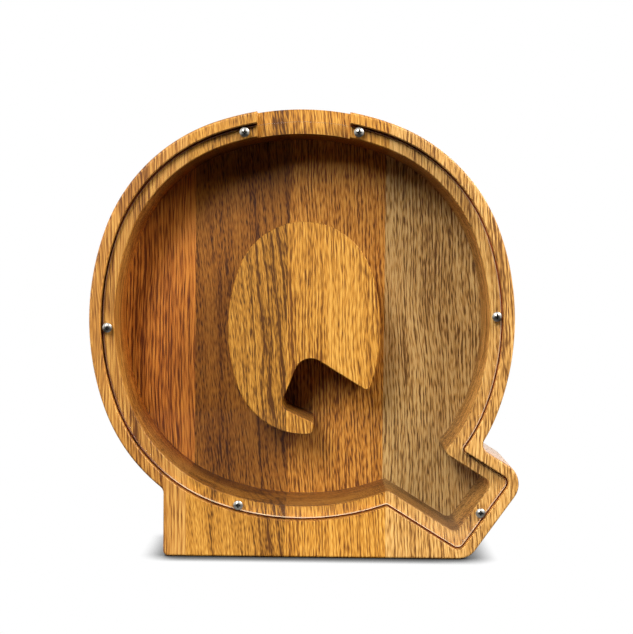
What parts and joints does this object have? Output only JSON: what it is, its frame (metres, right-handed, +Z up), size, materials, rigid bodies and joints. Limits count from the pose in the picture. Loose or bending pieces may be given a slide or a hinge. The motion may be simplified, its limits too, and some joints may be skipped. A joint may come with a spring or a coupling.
{
  "type": "wooden money box",
  "caption": "Round letter-shaped wooden coin bank on a flat foot, with a screwed clear front window over a carved pocket and a coin notch in the top of the rim.",
  "frame": {"origin": "middle of the object's box, on the underside of the foot", "axes": "+X to the right seen from the front, +Y from the front to the back, +Z up"},
  "size_m": [0.201, 0.05, 0.2094],
  "materials": {
    "left_stave": "oiled, satin",
    "left_centre_stave": "oiled, satin",
    "right_centre_stave": "oiled, satin",
    "right_stave": "oiled, satin",
    "clear_window": "clear acrylic, polished",
    "screw_steel": "bright zinc"
  },
  "bodies": {
    "box": {"left_stave": "left_stave", "left_centre_stave": "left_centre_stave", "right_centre_stave": "right_centre_stave", "right_stave": "right_stave"},
    "window": {"front_window": "clear_window"},
    "screw_top_left": {"screw_top_left": "screw_steel"},
    "screw_top_right": {"screw_top_right": "screw_steel"},
    "screw_left": {"screw_left": "screw_steel"},
    "screw_right": {"screw_right": "screw_steel"},
    "screw_bottom": {"screw_bottom": "screw_steel"},
    "screw_tail": {"screw_tail": "screw_steel"}
  },
  "joints": [
    {"name": "window_slide", "type": "slide", "parent": "box", "child": "window", "axis": [0, -1, 0], "range_m": [0, 0.06]},
    {"name": "screw_top_left_turn", "type": "hinge", "parent": "window", "child": "screw_top_left", "pos_m": [-0.02882, -0.0235, 0.19782], "axis": [0, -1, 0], "continuous": true},
    {"name": "screw_top_right_turn", "type": "hinge", "parent": "window", "child": "screw_top_right", "pos_m": [0.02406, -0.0235, 0.19823], "axis": [0, -1, 0], "continuous": true},
    {"name": "screw_left_turn", "type": "hinge", "parent": "window", "child": "screw_left", "pos_m": [-0.09213, -0.0235, 0.10671], "axis": [0, -1, 0], "continuous": true},
    {"name": "screw_right_turn", "type": "hinge", "parent": "window", "child": "screw_right", "pos_m": [0.08916, -0.0235, 0.11369], "axis": [0, -1, 0], "continuous": true},
    {"name": "screw_bottom_turn", "type": "hinge", "parent": "window", "child": "screw_bottom", "pos_m": [-0.03058, -0.0235, 0.02403], "axis": [0, -1, 0], "continuous": true},
    {"name": "screw_tail_turn", "type": "hinge", "parent": "window", "child": "screw_tail", "pos_m": [0.08295, -0.0235, 0.0216], "axis": [0, -1, 0], "continuous": true}
  ]
}
